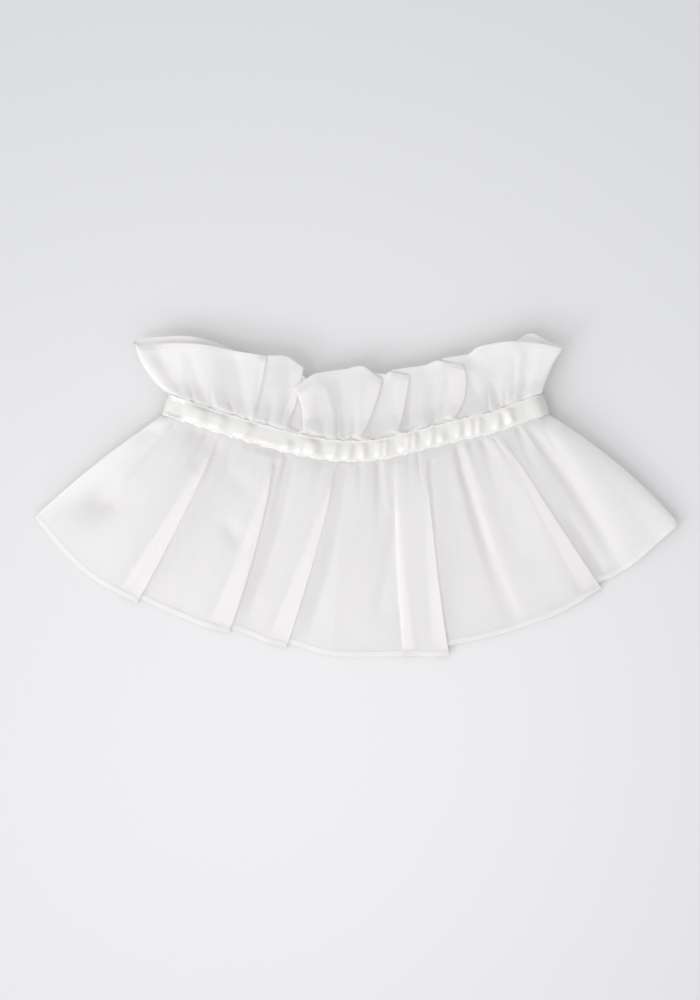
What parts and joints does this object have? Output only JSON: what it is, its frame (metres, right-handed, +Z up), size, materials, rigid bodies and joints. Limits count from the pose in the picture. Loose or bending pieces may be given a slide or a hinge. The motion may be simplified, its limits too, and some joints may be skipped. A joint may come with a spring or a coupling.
{
  "type": "ruff collar",
  "caption": "Gathered neck ruff lying flat: a ribbon-covered elastic ring with a deep hemmed frill below it and a narrow standing ruffle above.",
  "frame": {"origin": "on the table under the middle of the laid-out collar", "axes": "+X along the collar, from one end fold to the other; +Y from the hem towards the standing ruffle; +Z up off the table"},
  "size_m": [0.2928, 0.1464, 0.0226],
  "materials": {
    "frill_cloth": "fine plain weave, matt, slightly translucent",
    "satin_ribbon": "glossy satin"
  },
  "bodies": {
    "root": {"lower_frill": "frill_cloth", "upper_frill": "frill_cloth", "ribbon_casing": "satin_ribbon"}
  },
  "joints": []
}
